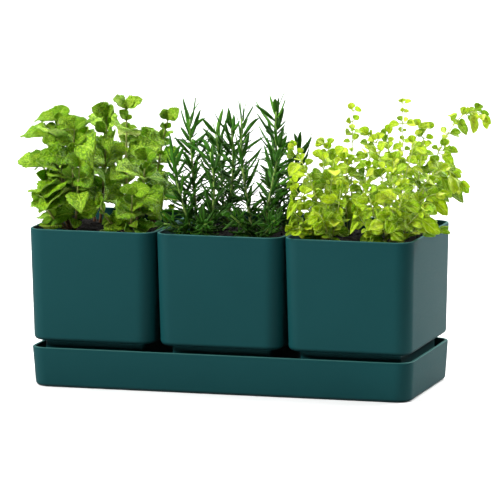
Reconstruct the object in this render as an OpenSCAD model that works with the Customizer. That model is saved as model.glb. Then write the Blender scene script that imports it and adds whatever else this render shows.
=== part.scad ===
// Indoor herb planter: three tapered square pots of mint, rosemary and oregano on one drip tray.
// The origin is the middle of the tray's underside. X runs along the row, the front faces -Y.

/* [Pots] */
// Width of a pot at its rim, along the row
pot_w = 111; // [100:1:130]
// Depth of a pot at its rim, front to back
pot_d = 138; // [120:1:160]
// Height of a pot's outer shell, from its lower edge to its rim
shell_h = 95.5; // [70:0.5:120]
// Gap between neighbouring rims
rim_gap = 1; // [1:0.5:5]
// Thickness of a pot's walls
pot_wall = 2.6; // [2:0.1:4]
// Thickness of a pot's floor and of the shelf above its foot
pot_floor = 3; // [2:0.5:5]
// How far each side of a pot draws in from rim to lower edge
pot_draft = 2; // [0.5:0.5:4]
// Radius of a pot's upright corners at the rim
pot_corner_r = 14; // [10:0.5:18]
// Rounding of the rim's outer edge
rim_round = 1.4; // [0.5:0.1:2]
// Rounding of a pot's lower edge
pot_base_round = 4; // [2:0.5:5]

/* [Feet and drainage] */
// How far the foot reaches below a pot's lower edge
foot_drop = 31.5; // [20:0.5:40]
// How far the foot stands in from a pot's lower edge
foot_inset = 10; // [8:0.5:14]
// Diameter of a drain hole
drain_d = 8; // [5:0.5:12]
// Spacing of the drain holes along the row
drain_gap_x = 44; // [30:1:50]
// Spacing of the drain holes front to back
drain_gap_y = 60; // [40:1:70]

/* [Tray] */
// Height of the tray
tray_h = 34; // [26:0.5:36]
// Thickness of the tray's walls
tray_wall = 3; // [2:0.1:4]
// Thickness of the tray's floor
tray_floor = 3; // [2:0.5:5]
// How far the tray's rim stands in from the row of rims
tray_inset = 0.6; // [0:0.1:2]
// How far each side of the tray draws in from rim to base
tray_draft = 2.2; // [0.5:0.1:4]
// Rounding of the tray's lower edge
tray_base_round = 3.5; // [2:0.5:5]
// Rounding of the tray's rim
tray_rim_round = 1; // [0.5:0.1:1.4]
// Height of the bars that hold the pots above the water
bar_h = 5; // [3:0.5:8]
// Thickness of a bar
bar_t = 3; // [2:0.5:5]
// Spacing of the two bars under a pot
bar_gap = 56; // [40:1:66]
// Length of a bar
bar_l = 104; // [80:1:110]

/* [Soil] */
// How far the soil lies below the rim at the walls
soil_drop = 11; // [6:0.5:20]
// How much the soil rises towards the middle
soil_crown = 2; // [0.5:0.5:5]
// How far the soil's raised middle stands in from the walls
soil_crown_inset = 14; // [8:1:20]
// Gap between the soil and the pot's walls
soil_fit = 0.3; // [0.2:0.1:1]

/* [Root plugs] */
// Diameter of a plant's root plug
plug_d = 15; // [10:1:20]
// Depth of a root plug in the soil
plug_h = 24; // [15:1:35]
// Gap around a root plug in its hole
plug_fit = 0.4; // [0.2:0.1:1]
// Spacing of the plugs along the row
plug_gap_x = 50; // [40:1:56]
// Spacing of the plugs front to back
plug_gap_y = 64; // [50:1:74]
// Room kept free between neighbouring plants
plant_gap = 1.6; // [1:0.1:3]

/* [Mint] */
// Reach of the mint above the soil
mint_h = 124; // [90:1:150]
// Length of a full mint leaf with its stalk
mint_leaf_l = 40; // [24:1:44]
// Width of a full mint leaf
mint_leaf_w = 29; // [16:1:34]
// Diameter of a mint stem at the soil
mint_stem_d = 2.8; // [2:0.1:4]

/* [Rosemary] */
// Reach of the rosemary above the soil
rosemary_h = 126; // [90:1:150]
// Length of a rosemary needle
needle_l = 29; // [15:1:34]
// Width of a rosemary needle
needle_w = 3.4; // [2:0.1:5]
// Diameter of a rosemary stem at the soil
rosemary_stem_d = 3; // [2:0.1:4]

/* [Oregano] */
// Reach of the oregano above the soil
oregano_h = 124; // [90:1:150]
// Length of a full oregano leaf with its stalk
oregano_leaf_l = 20; // [12:1:24]
// Width of a full oregano leaf
oregano_leaf_w = 11.5; // [6:0.5:14]
// Diameter of an oregano stem at the soil
oregano_stem_d = 2; // [1.6:0.1:3]

/* [Leaves] */
// Thickness of a leaf at its midrib
leaf_t = 1.1; // [0.8:0.1:2]
// Width of the strip inside a pot's outline that low leaves stay out of
rim_clear = 14; // [8:1:18]

/* [Hidden] */

pitch = pot_w + rim_gap;
row_w = 2 * pitch + pot_w;
tray_w = row_w - 2 * tray_inset;
tray_d = pot_d - 2 * tray_inset;
foot_z = tray_floor + bar_h;
shell_z = foot_z + foot_drop;
rim_z = shell_z + shell_h;
soil_z = rim_z - soil_drop;
foot_w = pot_w - 2 * (pot_draft + foot_inset);
foot_d = pot_d - 2 * (pot_draft + foot_inset);
foot_r = pot_corner_r - pot_draft - pot_wall;
skin = 0.01;
corner_step = 15;
stem_parts = 4;
overshoot = 2;
plastic = [0.12, 0.29, 0.30];
earth = [0.13, 0.09, 0.07];
mint_green = [0.45, 0.62, 0.16];
rosemary_green = [0.13, 0.36, 0.16];
oregano_green = [0.62, 0.75, 0.20];

// Side of the pot's middle that each plant stands on: [along the row, front to back].
front_left = [-1, -1];
front_right = [1, -1];
back_left = [-1, 1];
back_right = [1, 1];

// Shoots as [elbow, tip, leaf size, turn of the first leaves, leaf pairs], with points given
// from the middle of the pot's soil in hundredths of the herb's reach.
mint_shoots_front_left = [
    [[-32, -18, 42], [-36, -10, 77], 1, 20, 5],
    [[-20, -30, 42], [-19, -27, 74], 1, 65, 5],
    [[-36, -28, 18], [-42, -24, 46], 0.9, 10, 3],
    [[-15, -36, 22], [-12, -38, 50], 0.9, 40, 3],
    [[-34, -20, 58], [-42, -16, 67], 1.2, 86, 2],
    [[-36, -24, 38], [-44, -20, 47], 1.2, 94, 2],
    [[-32, -40, 14], [-36, -44, 26], 0.75, 75, 2]];
mint_shoots_front_right = [
    [[14, -18, 40], [12, -6, 86], 0.85, 30, 5],
    [[26, -22, 24], [30, -20, 54], 0.95, 70, 4],
    [[24, -36, 12], [26, -40, 32], 0.85, 20, 3],
    [[6, -36, 14], [3, -42, 24], 0.75, 50, 2]];
mint_shoots_back_left = [
    [[-12, 20, 42], [-8, 11, 78], 1, 50, 5],
    [[-26, 30, 30], [-30, 28, 60], 0.9, 15, 4]];
mint_shoots_back_right = [
    [[22, 22, 38], [33, 20, 76], 0.7, 25, 5],
    [[18, 28, 32], [14, 30, 60], 0.9, 60, 4],
    [[32, 16, 14], [37, 11, 16], 0.4, 35, 2]];

rosemary_shoots_front_left = [
    [[-27, -20, 46], [-32, -10, 80], 1, 10, 13],
    [[-32, -30, 22], [-38, -30, 58], 1, 40, 9],
    [[-4, -32, 26], [-14, -22, 60], 1, 70, 10],
    [[-14, -42, 14], [-8, -50, 16], 0.7, 50, 5],
    [[-28, -40, 12], [-38, -50, 15], 0.7, 30, 5]];
rosemary_shoots_front_right = [
    [[6, -18, 46], [2, -8, 82], 1, 25, 13],
    [[28, -22, 36], [33, -18, 64], 1, 60, 10],
    [[14, -36, 13], [8, -48, 22], 0.7, 15, 5],
    [[32, -38, 13], [38, -46, 20], 0.7, 45, 5]];
rosemary_shoots_back_left = [
    [[-20, 28, 36], [-24, 24, 66], 1, 5, 10],
    [[-8, 20, 40], [-10, 14, 72], 1, 35, 11]];
rosemary_shoots_back_right = [
    [[20, 18, 48], [22, 12, 84], 1, 55, 13],
    [[30, 28, 32], [34, 26, 58], 1, 20, 9]];

oregano_shoots_front_left = [
    [[-26, -36, 48], [-38, -48, 68], 1, 10, 5],
    [[-30, -32, 26], [-40, -46, 44], 1, 60, 4],
    [[-18, -34, 40], [-14, -32, 62], 1, 35, 5],
    [[-28, -44, 18], [-40, -50, 14], 1, 80, 4],
    [[-10, -40, 22], [-6, -46, 42], 1, 25, 4],
    [[-24, -20, 34], [-28, -12, 56], 1, 50, 4]];
oregano_shoots_front_right = [
    [[18, -22, 50], [10, -14, 70], 1, 15, 5],
    [[30, -16, 50], [38, -8, 80], 0.8, 50, 5],
    [[52, -14, 72], [66, -10, 46], 0.9, 5, 5],
    [[38, -26, 36], [54, -22, 38], 1, 75, 5],
    [[16, -42, 24], [14, -50, 42], 1, 30, 4],
    [[32, -42, 24], [38, -46, 44], 1, 0, 4],
    [[26, -28, 36], [26, -28, 60], 1, 40, 5],
    [[44, -34, 19], [56, -30, 15], 1, 65, 3]];
oregano_shoots_back_left = [
    [[-16, 18, 48], [-12, 6, 88], 0.75, 0, 5],
    [[-28, 26, 36], [-34, 20, 62], 1, 45, 5],
    [[-8, 28, 40], [-4, 26, 68], 1, 20, 5],
    [[-20, 12, 30], [-16, 6, 54], 1, 70, 4]];
oregano_shoots_back_right = [
    [[20, 16, 50], [23, 6, 94], 0.65, 30, 6],
    [[52, 20, 102], [77, 10, 88], 0.8, 70, 7],
    [[30, 24, 44], [34, 22, 74], 1, 10, 5],
    [[44, 14, 40], [52, 8, 64], 1, 55, 4],
    [[10, 26, 40], [8, 22, 70], 1, 35, 5]];

// Leaf outlines from stalk to tip: [share of the length, share of the half width].
mint_outline = [[0.32, 0.96], [0.68, 0.86]];
oregano_outline = [[0.6, 1]];

function unit(v) = v / norm(v);
// A steady wave that varies leaves without chance.
function wave(n) = (sin(n * 97) + sin(n * 211)) / 2;
// How far a tapered wall has drawn in at height z above its base, of height h.
function drawn_in(draft, z, h) = draft * (1 - z / h);

// A quadratic curve from root to tip.
function along(s, t) = pow(1 - t, 2) * s[0] + 2 * t * (1 - t) * s[1] + t * t * s[2];
function heading(s, t) = unit((1 - t) * (s[1] - s[0]) + t * (s[2] - s[1]));
// The point at share t on the stem's straight lengths.
function on_stem(s, t, r) =
    let (k = min(floor(t * stem_parts), stem_parts - 1), u = t * stem_parts - k)
    (1 - u) * kept(along(s, k / stem_parts), r) + u * kept(along(s, (k + 1) / stem_parts), r);

// Foliage bends back softly before it reaches its neighbours, over the last give millimetres.
give = 8;
function below(v, top) = v <= top - give ? v : top - give * exp((top - give - v) / give);
function above(v, low) = -below(-v, -low);
function held(v, low, top) = below(above(v, low), top);
open_air = 1000;

// Free room of a plant in its pot's own place: [lowest x, highest x, lowest y, highest y].
function room(pot, side) = [
    side[0] > 0 ? plant_gap : (pot < 0 ? -open_air : plant_gap - pitch / 2),
    side[0] < 0 ? -plant_gap : (pot > 0 ? open_air : pitch / 2 - plant_gap),
    side[1] > 0 ? plant_gap : -open_air,
    side[1] < 0 ? -plant_gap : open_air];
function kept(p, r) = [held(p[0], r[0], r[1]), held(p[1], r[2], r[3]), p[2]];
// Leaves stay above the soil, and above the rim where they lean out over it.
function near_rim(p) = max(abs(p[0]) - pot_w / 2, abs(p[1]) - pot_d / 2) > -rim_clear;
function clear(p, r) =
    let (q = kept(p, r), low = near_rim(q) ? soil_drop : soil_crown)
    [q[0], q[1], above(q[2], low + plant_gap)];

// Directions across a stem that heads along d.
function side_of(d) = unit(cross(d, [0.3, 1, 0]));
function leaf_heading(d, turn, open) =
    cos(open) * d + sin(open) * (cos(turn) * side_of(d) + sin(turn) * cross(d, side_of(d)));
// Leaves face along their stem, turned partly to the light in front.
function face_of(d, h, front) = let (v = d + front * [0.3, -1, 0.2]) unit(v - (v * h) * h);

// A thin closed leaf from p along h, with its upper face towards f.
module leaf(p, h, f, l, w, droop, outline, r) {
    n = len(outline);
    s = cross(h, f);
    function mid(u) = p + h * (l * u) - [0, 0, droop * l * u * u];
    fold = w / 12;
    rib = [for (o = outline) clear(mid(o[0]), r)];
    left = [for (o = outline) clear(mid(o[0]) + s * (w / 2 * o[1]) + f * fold, r)];
    right = [for (o = outline) clear(mid(o[0]) - s * (w / 2 * o[1]) + f * fold, r)];
    up = unit(cross(left[0] - right[0], rib[n - 1] - p));
    half = up * (leaf_t / 2) * (up * f < 0 ? -1 : 1);
    points = concat(
        [p], left, [clear(mid(1), r)], [for (k = [n - 1:-1:0]) right[k]],
        [for (q = rib) q + half], [for (q = rib) q - half]);
    tip = n + 1;
    top = 2 * n + 2;
    low = top + n;
    function mirror_of(k) = 2 * n + 2 - k;
    faces = concat(
        [[0, top, 1], [0, mirror_of(1), top], [0, 1, low], [0, low, mirror_of(1)]],
        [for (k = [1:1:n - 1]) each [
            [k, top + k - 1, top + k], [k, top + k, k + 1],
            [mirror_of(k), top + k, top + k - 1], [mirror_of(k), mirror_of(k + 1), top + k],
            [k, low + k, low + k - 1], [k, k + 1, low + k],
            [mirror_of(k), low + k - 1, low + k], [mirror_of(k), low + k, mirror_of(k + 1)]]],
        [[n, top + n - 1, tip], [mirror_of(n), tip, top + n - 1],
            [n, tip, low + n - 1], [mirror_of(n), low + n - 1, tip]]);
    polyhedron(points, faces, convexity = 4);
}

// A needle with three sides, widest a third of the way along.
module needle(p, h, l, w, r) {
    a = side_of(h);
    b = cross(h, a);
    m = clear(p + h * (l * 0.35), r);
    ring = [for (k = [0:2]) m + (cos(120 * k) * a + sin(120 * k) * b) * (w * 0.58)];
    polyhedron(concat([p, clear(p + h * l, r)], ring),
        [for (k = [0:2]) each [[0, 2 + k, 2 + (k + 1) % 3], [1, 2 + (k + 1) % 3, 2 + k]]]);
}

module bead(p, d) {
    translate(p) sphere(d = d, $fn = 4);
}

// A stem in straight lengths that thin towards the tip.
module stem(s, d, r) {
    for (k = [0:stem_parts - 1]) {
        hull() {
            bead(on_stem(s, k / stem_parts, r), d * (1 - 0.5 * k / stem_parts));
            bead(on_stem(s, (k + 1) / stem_parts, r), d * (1 - 0.5 * (k + 1) / stem_parts));
        }
    }
}

module root_plug() {
    translate([0, 0, soil_crown - plug_h]) cylinder(d = plug_d, h = plug_h, $fn = 16);
}

function plug_at(side) = [side[0] * plug_gap_x / 2, side[1] * plug_gap_y / 2];
// The shoot's curve, from inside the plug's top.
function shoot_curve(side, shoot, reach) =
    let (root = plug_at(side), lean = unit([shoot[0][0] * reach / 100, shoot[0][1] * reach / 100] - root))
    [[root[0] + lean[0] * plug_d / 4, root[1] + lean[1] * plug_d / 4, soil_crown],
        shoot[0] * reach / 100, shoot[1] * reach / 100];

module on_soil(pot, side) {
    translate([pot * pitch, 0, soil_z]) children();
}

module plug_of(side) {
    translate([plug_at(side)[0], plug_at(side)[1], 0]) root_plug();
}

// Broad leaves in opposite pairs, each pair a quarter turn on from the last.
module leafy_shoot(s, shoot, leaf_l, leaf_w, stem_d, outline, first, open, droop, front, r) {
    pairs = shoot[4];
    stem(s, stem_d, r);
    for (k = [0:pairs - 1]) {
        t = first + (1 - first) * k / (pairs - 1);
        d = heading(s, t);
        size = shoot[2] * (t > 0.95 ? 0.6 : 0.7 + 0.3 * t);
        for (side = [0, 1]) {
            n = shoot[3] + 2 * k + side;
            turn = shoot[3] + 90 * k + 180 * side + 30 * wave(n);
            h = leaf_heading(d, turn, open * (t > 0.95 ? 0.5 : 1) + 18 * wave(n + 3));
            l = leaf_l * size * (1 + 0.2 * wave(n + 7));
            sag = droop * (1 + 0.7 * wave(n + 17));
            leaf(on_stem(s, t, r), h, face_of(d, h, front), l, leaf_w * l / leaf_l, sag, outline, r);
        }
    }
}

module mint(side, shoots) {
    r = room(-1, side);
    color(mint_green) on_soil(-1, side) union() {
        plug_of(side);
        for (shoot = shoots) {
            leafy_shoot(shoot_curve(side, shoot, mint_h), shoot, mint_leaf_l, mint_leaf_w,
                mint_stem_d, mint_outline, 0.34, 78, 0.36, 0.9, r);
        }
    }
}

module oregano(side, shoots) {
    r = room(1, side);
    color(oregano_green) on_soil(1, side) union() {
        plug_of(side);
        for (shoot = shoots) {
            leafy_shoot(shoot_curve(side, shoot, oregano_h), shoot, oregano_leaf_l, oregano_leaf_w,
                oregano_stem_d, oregano_outline, 0.24, 72, 0.3, 1.1, r);
        }
    }
}

// Needles wind up the stem by the golden angle.
module needled_shoot(s, shoot, r) {
    rounds = shoot[4];
    needles = 2 * rounds;
    stem(s, rosemary_stem_d, r);
    for (k = [0:needles - 1]) {
        t = 0.12 + 0.88 * k / (needles - 1);
        d = heading(s, t);
        n = shoot[3] + k;
        h = leaf_heading(d, shoot[3] + 137.5 * k, 54 - 30 * t * t + 26 * wave(n));
        l = needle_l * shoot[2] * (0.92 + 0.3 * wave(n + 5)) * (1 - 0.2 * pow(t, 6));
        needle(on_stem(s, t, r), h, l, needle_w, r);
    }
}

module rosemary(side, shoots) {
    r = room(0, side);
    color(rosemary_green) on_soil(0, side) union() {
        plug_of(side);
        for (shoot = shoots) needled_shoot(shoot_curve(side, shoot, rosemary_h), shoot, r);
    }
}

// Outline of a rectangle with round corners.
function rounded_outline(w, d, r) = [
    for (c = [[1, 1, 0], [-1, 1, 90], [-1, -1, 180], [1, -1, 270]], a = [0:corner_step:90])
        [c[0] * (w / 2 - r) + r * cos(c[2] + a), c[1] * (d / 2 - r) + r * sin(c[2] + a)]];

module upright_block(w, d, r, z, h) {
    translate([0, 0, z]) linear_extrude(h) polygon(rounded_outline(w, d, r));
}

// A thin slice of a rounded rectangle, for hulls.
module slice(w, d, r, z) {
    upright_block(w, d, r, z, skin);
}

// A rounded block that tapers downwards, with rounded lower and upper edges.
module tapered_block(w, d, r, z, h, draft, low_round, top_round) {
    hull() {
        for (a = [0:30:90]) {
            low = low_round * (1 - sin(a));
            in = drawn_in(draft, low, h) + low_round * (1 - cos(a));
            slice(w - 2 * in, d - 2 * in, r - in, z + low);
        }
        for (a = [0:45:90]) {
            top = h - top_round * (1 - sin(a));
            out = drawn_in(draft, top, h) + top_round * (1 - cos(a));
            slice(w - 2 * out, d - 2 * out, r - out, z + top - skin);
        }
    }
}

// The hollow of a tapered wall, carried on past its top.
module tapered_hollow(w, d, r, z, h, draft, wall, floor_t) {
    low = drawn_in(draft, floor_t, h) + wall;
    top = drawn_in(draft, h + overshoot, h) + wall;
    hull() {
        slice(w - 2 * low, d - 2 * low, r - low, z + floor_t);
        slice(w - 2 * top, d - 2 * top, r - top, z + h + overshoot);
    }
}

module drain_holes() {
    for (x = [-1, 1], y = [-1, 1]) {
        translate([x * drain_gap_x / 2, y * drain_gap_y / 2, foot_z - overshoot])
            cylinder(d = drain_d, h = pot_floor + 2 * overshoot, $fn = 32);
    }
    translate([0, 0, foot_z - overshoot]) cylinder(d = drain_d, h = pot_floor + 2 * overshoot, $fn = 32);
}

module pot(place) {
    color(plastic) translate([place * pitch, 0, 0]) difference() {
        union() {
            tapered_block(pot_w, pot_d, pot_corner_r, shell_z, shell_h, pot_draft, pot_base_round, rim_round);
            upright_block(foot_w, foot_d, foot_r, foot_z, foot_drop + pot_floor / 2);
        }
        tapered_hollow(pot_w, pot_d, pot_corner_r, shell_z, shell_h, pot_draft, pot_wall, pot_floor);
        upright_block(foot_w - 2 * pot_wall, foot_d - 2 * pot_wall, foot_r - pot_wall,
            foot_z + pot_floor, foot_drop + overshoot);
        drain_holes();
    }
}

module tray() {
    color(plastic) {
        difference() {
            tapered_block(tray_w, tray_d, pot_corner_r, 0, tray_h, tray_draft, tray_base_round, tray_rim_round);
            tapered_hollow(tray_w, tray_d, pot_corner_r, 0, tray_h, tray_draft, tray_wall, tray_floor);
        }
        for (place = [-1:1], side = [-1, 1]) {
            translate([place * pitch + side * bar_gap / 2 - bar_t / 2, -bar_l / 2, tray_floor / 2])
                cube([bar_t, bar_l, bar_h + tray_floor / 2]);
        }
    }
}

// Soil fills the pot and its foot, and is a little higher in the middle.
module soil(place) {
    gap = pot_wall + soil_fit;
    low = drawn_in(pot_draft, pot_floor, shell_h) + gap;
    top = drawn_in(pot_draft, shell_h - soil_drop, shell_h) + gap;
    mound = top + soil_crown_inset;
    color(earth) translate([place * pitch, 0, 0]) difference() {
        union() {
            hull() {
                slice(pot_w - 2 * low, pot_d - 2 * low, pot_corner_r - low, shell_z + pot_floor + soil_fit);
                slice(pot_w - 2 * top, pot_d - 2 * top, pot_corner_r - top, soil_z - skin);
                slice(pot_w - 2 * mound, pot_d - 2 * mound, pot_corner_r - gap, soil_z + soil_crown - skin);
            }
            upright_block(foot_w - 2 * gap, foot_d - 2 * gap, foot_r - gap,
                foot_z + pot_floor, foot_drop + 2 * soil_fit + pot_floor);
        }
        for (x = [-1, 1], y = [-1, 1]) {
            translate([x * plug_gap_x / 2, y * plug_gap_y / 2, soil_z + soil_crown - plug_h])
                cylinder(d = plug_d + 2 * plug_fit, h = plug_h + overshoot, $fn = 32);
        }
    }
}

tray();
pot(-1);  // pot_left
pot(0);  // pot_middle
pot(1);  // pot_right
soil(-1);  // soil_left
soil(0);  // soil_middle
soil(1);  // soil_right
mint(front_left, mint_shoots_front_left);  // mint_front_left
mint(front_right, mint_shoots_front_right);  // mint_front_right
mint(back_left, mint_shoots_back_left);  // mint_back_left
mint(back_right, mint_shoots_back_right);  // mint_back_right
rosemary(front_left, rosemary_shoots_front_left);  // rosemary_front_left
rosemary(front_right, rosemary_shoots_front_right);  // rosemary_front_right
rosemary(back_left, rosemary_shoots_back_left);  // rosemary_back_left
rosemary(back_right, rosemary_shoots_back_right);  // rosemary_back_right
oregano(front_left, oregano_shoots_front_left);  // oregano_front_left
oregano(front_right, oregano_shoots_front_right);  // oregano_front_right
oregano(back_left, oregano_shoots_back_left);  // oregano_back_left
oregano(back_right, oregano_shoots_back_right);  // oregano_back_right
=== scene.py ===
import math
import bmesh
import bpy
import numpy as np
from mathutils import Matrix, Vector, noise


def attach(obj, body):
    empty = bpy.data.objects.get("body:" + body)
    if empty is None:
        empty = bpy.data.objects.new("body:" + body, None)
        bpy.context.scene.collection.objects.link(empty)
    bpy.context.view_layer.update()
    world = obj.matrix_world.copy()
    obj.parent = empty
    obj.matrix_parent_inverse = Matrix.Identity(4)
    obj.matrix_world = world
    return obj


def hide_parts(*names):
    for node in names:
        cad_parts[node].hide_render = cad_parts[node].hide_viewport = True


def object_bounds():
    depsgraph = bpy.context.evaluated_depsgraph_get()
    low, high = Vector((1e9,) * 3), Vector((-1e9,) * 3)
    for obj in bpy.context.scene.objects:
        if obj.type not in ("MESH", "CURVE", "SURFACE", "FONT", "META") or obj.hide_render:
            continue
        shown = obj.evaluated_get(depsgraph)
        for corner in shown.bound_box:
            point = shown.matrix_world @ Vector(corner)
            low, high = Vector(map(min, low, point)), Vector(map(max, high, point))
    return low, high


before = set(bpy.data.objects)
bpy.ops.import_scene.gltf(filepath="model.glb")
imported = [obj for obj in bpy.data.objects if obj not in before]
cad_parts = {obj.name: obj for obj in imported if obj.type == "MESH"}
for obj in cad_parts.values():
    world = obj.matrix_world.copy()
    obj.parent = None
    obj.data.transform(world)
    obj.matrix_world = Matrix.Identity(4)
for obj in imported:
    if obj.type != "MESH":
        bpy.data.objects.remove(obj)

cad_low, cad_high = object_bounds()

# Sizes and places are in millimetres, as in the part's source, and become metres here.
MM = 0.001

# Pots
pot_w = 111
pot_d = 138
shell_h = 95.5
pot_wall = 2.6
pot_floor = 3
pot_draft = 2
pot_corner_r = 14
rim_round = 1.2
pot_base_round = 4
floor_round = 1.5
foot_drop = 31.5
foot_inset = 10
recess_edge = 0.5
drain_d = 8
drain_gap_x = 44
drain_gap_y = 60

# Tray, with bars that carry the pots' feet
tray_h = 34
tray_wall = 3
tray_floor = 3
tray_inset = 0.6
tray_draft = 2.2
tray_base_round = 3.5
tray_rim_round = 1
bar_h = 5
bar_t = 3
bar_gap = 56
bar_l = 104
bar_round = 0.4

# Soil: a plain body under a crumbly skin, with loose crumbs on it
soil_drop = 11
soil_crown = 2
crown_ease = 14
soil_fit = 0.3
body_gap = 0.3
body_drop = 3
foot_gap = 0.5
skin_gap = 0.5
skin_t = 4
skin_sink = 0.4
skin_ease = 6
skin_columns = 72
skin_rows = 90
crumb_gap = 3
crumb_r = 0.5
crumb_more = 1.3
crumb_count = 900

# Plants, with the room that each keeps from its neighbours and the rims
plug_d = 15
plug_h = 24
plug_shoulder = 3
plug_crown = 1.5
plug_gap_x = 50
plug_gap_y = 64
plant_gap = 1.6
rim_clear = 14
rim_ease = 10
give = 8
box_give = 3
open_air = 1000

pitch = pot_w + 1
row_w = 2 * pitch + pot_w
foot_z = tray_floor + bar_h
shell_z = foot_z + foot_drop
rim_z = shell_z + shell_h
soil_z = rim_z - soil_drop

# How near to a height or an outline a point counts as on it
near = 0.25

# How far leaves stray from their rule, in degrees and in shares of their size
turn_stray = 30
open_stray = 18
length_stray = 0.2
droop_stray = 0.7

# The turn from one needle to the next, the share by which a stem thins towards its tip, the teeth along
# each side of a mint leaf, and the way to the light
golden_turn = 137.5
stem_taper = 0.55
mint_teeth = 9
toward_light = np.array((0.3, -1, 0.2))

PLACES = {"left": -1, "middle": 0, "right": 1}
SIDES = {"front_left": (-1, -1), "front_right": (1, -1), "back_left": (-1, 1), "back_right": (1, 1)}


# Modelling

def only(obj):
    """Selects one object and nothing else."""
    bpy.ops.object.select_all(action="DESELECT")
    obj.select_set(True)
    bpy.context.view_layer.objects.active = obj


def pick(kind, rule):
    """Selects the vertices, edges or faces that follow a rule, in edit mode."""
    mesh = bpy.context.object.data
    bpy.ops.mesh.select_mode(type={"verts": "VERT", "edges": "EDGE", "faces": "FACE"}[kind])
    bpy.ops.mesh.select_all(action="DESELECT")
    shape = bmesh.from_edit_mesh(mesh)
    for part in getattr(shape, kind):
        if rule(part):
            part.select_set(True)
    bmesh.update_edit_mesh(mesh)


def at_height(z):
    """A rule for what lies level at height z."""
    return lambda part: all(abs(v.co.z / MM - z) < near for v in getattr(part, "verts", [part]))


def level_face(z, up):
    """A rule for the level faces at height z that look up, or down where up is -1."""
    return lambda face: face.normal.z * up > 0.999 and at_height(z)(face)


def upright(edge):
    a, b = (v.co for v in edge.verts)
    return math.hypot(a.x - b.x, a.y - b.y) < near * MM


def on_ring(z, w, d, r):
    """A rule for the edges that run round a rectangle of that size with round corners."""
    def on_outline(p):
        x = max(abs(p.x) / MM - (w / 2 - r), 0)
        y = max(abs(p.y) / MM - (d / 2 - r), 0)
        return abs(math.hypot(x, y) - r) < 2 * near
    return lambda edge: at_height(z)(edge) and all(on_outline(v.co) for v in edge.verts)


def resize(x, y, z):
    """Scales the selection about the middle line at height z."""
    bpy.ops.transform.resize(value=(x, y, 1), center_override=(0, 0, z * MM))


def push(z):
    """Extrudes the selected faces along Z."""
    bpy.ops.mesh.extrude_region_move(TRANSFORM_OT_translate={"value": (0, 0, z * MM)})


def soften(rule, radius, steps):
    pick("edges", rule)
    bpy.ops.mesh.bevel(offset=radius * MM, segments=steps, affect="EDGES")


def block(name, x, y, z, w, d, h):
    """A cube of that size standing at height z, with its place in its mesh."""
    bpy.ops.object.select_all(action="DESELECT")
    bpy.ops.mesh.primitive_cube_add(
        size=1, location=(x * MM, y * MM, (z + h / 2) * MM), scale=(w * MM, d * MM, h * MM))
    obj = bpy.context.object
    obj.name = name
    obj.data.name = name
    bpy.ops.object.transform_apply(location=True, rotation=True, scale=True)
    return obj


def narrowed(r, w, draft):
    """A corner's radius at the foot of a taper."""
    return r * (1 - 2 * draft / w)


def tapered_block(name, w, d, z, h, r, draft):
    """A box with round corners that narrows downwards by the draft on each side."""
    obj = block(name, 0, 0, z, w, d, h)
    bpy.ops.object.mode_set(mode="EDIT")
    soften(upright, r, 12)
    pick("verts", at_height(z))
    resize(1 - 2 * draft / w, 1 - 2 * draft / d, z)
    bpy.ops.object.mode_set(mode="OBJECT")
    return obj


def vessel(name, w, d, z, h, r, draft, wall, floor, low_round, top_round):
    """A tapered box with round corners, open at the top."""
    obj = tapered_block(name, w, d, z, h, r, draft)
    bpy.ops.object.mode_set(mode="EDIT")
    pick("faces", level_face(z + h, 1))
    bpy.ops.mesh.inset(thickness=wall * MM)
    push(floor - h)
    inner_w = w - 2 * wall
    inner_d = d - 2 * wall
    resize(1 - 2 * draft / inner_w, 1 - 2 * draft / inner_d, z + floor)
    soften(on_ring(z + floor, inner_w - 2 * draft, inner_d - 2 * draft, narrowed(r - wall, inner_w, draft)),
           floor_round, 3)
    soften(on_ring(z, w - 2 * draft, d - 2 * draft, narrowed(r, w, draft)), low_round, 6)
    soften(on_ring(z + h, w, d, r), top_round, 4)
    soften(on_ring(z + h, inner_w, inner_d, r - wall), top_round * 0.8, 3)
    bpy.ops.object.mode_set(mode="OBJECT")
    return obj


def cut(obj, tool):
    """Takes the tool's shape out of the object."""
    only(obj)
    hole = obj.modifiers.new("cut", "BOOLEAN")
    hole.operation = "DIFFERENCE"
    hole.object = tool
    bpy.ops.object.modifier_apply(modifier=hole.name)
    bpy.data.objects.remove(tool)


def joined(name, parts):
    bpy.ops.object.select_all(action="DESELECT")
    for part in parts:
        part.select_set(True)
    bpy.context.view_layer.objects.active = parts[0]
    bpy.ops.object.join()
    obj = bpy.context.object
    obj.name = name
    obj.data.name = name
    return obj


def smooth(obj, degrees):
    only(obj)
    bpy.ops.object.shade_smooth_by_angle(angle=math.radians(degrees))


def outward(obj):
    only(obj)
    bpy.ops.object.mode_set(mode="EDIT")
    bpy.ops.mesh.select_all(action="SELECT")
    bpy.ops.mesh.normals_make_consistent(inside=False)
    bpy.ops.object.mode_set(mode="OBJECT")


def copied(obj, name, x):
    """A copy with its own mesh, moved along the row."""
    twin = obj.copy()
    twin.data = obj.data.copy()
    twin.name = name
    twin.data.name = name
    bpy.context.scene.collection.objects.link(twin)
    only(twin)
    bpy.ops.transform.translate(value=(x * MM, 0, 0))
    bpy.ops.object.transform_apply(location=True, rotation=False, scale=False)
    return twin


def points_of(obj):
    flat = np.empty(len(obj.data.vertices) * 3)
    obj.data.vertices.foreach_get("co", flat)
    return flat.reshape(-1, 3)


def set_points(obj, points):
    obj.data.vertices.foreach_set("co", np.ascontiguousarray(points, float).ravel())
    obj.data.update()


def set_value(obj, name, values):
    """Gives each vertex a number that the materials read."""
    kept_values = obj.data.attributes.new(name, "FLOAT", "POINT")
    kept_values.data.foreach_set("value", np.ascontiguousarray(values, np.float32).ravel())


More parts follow.
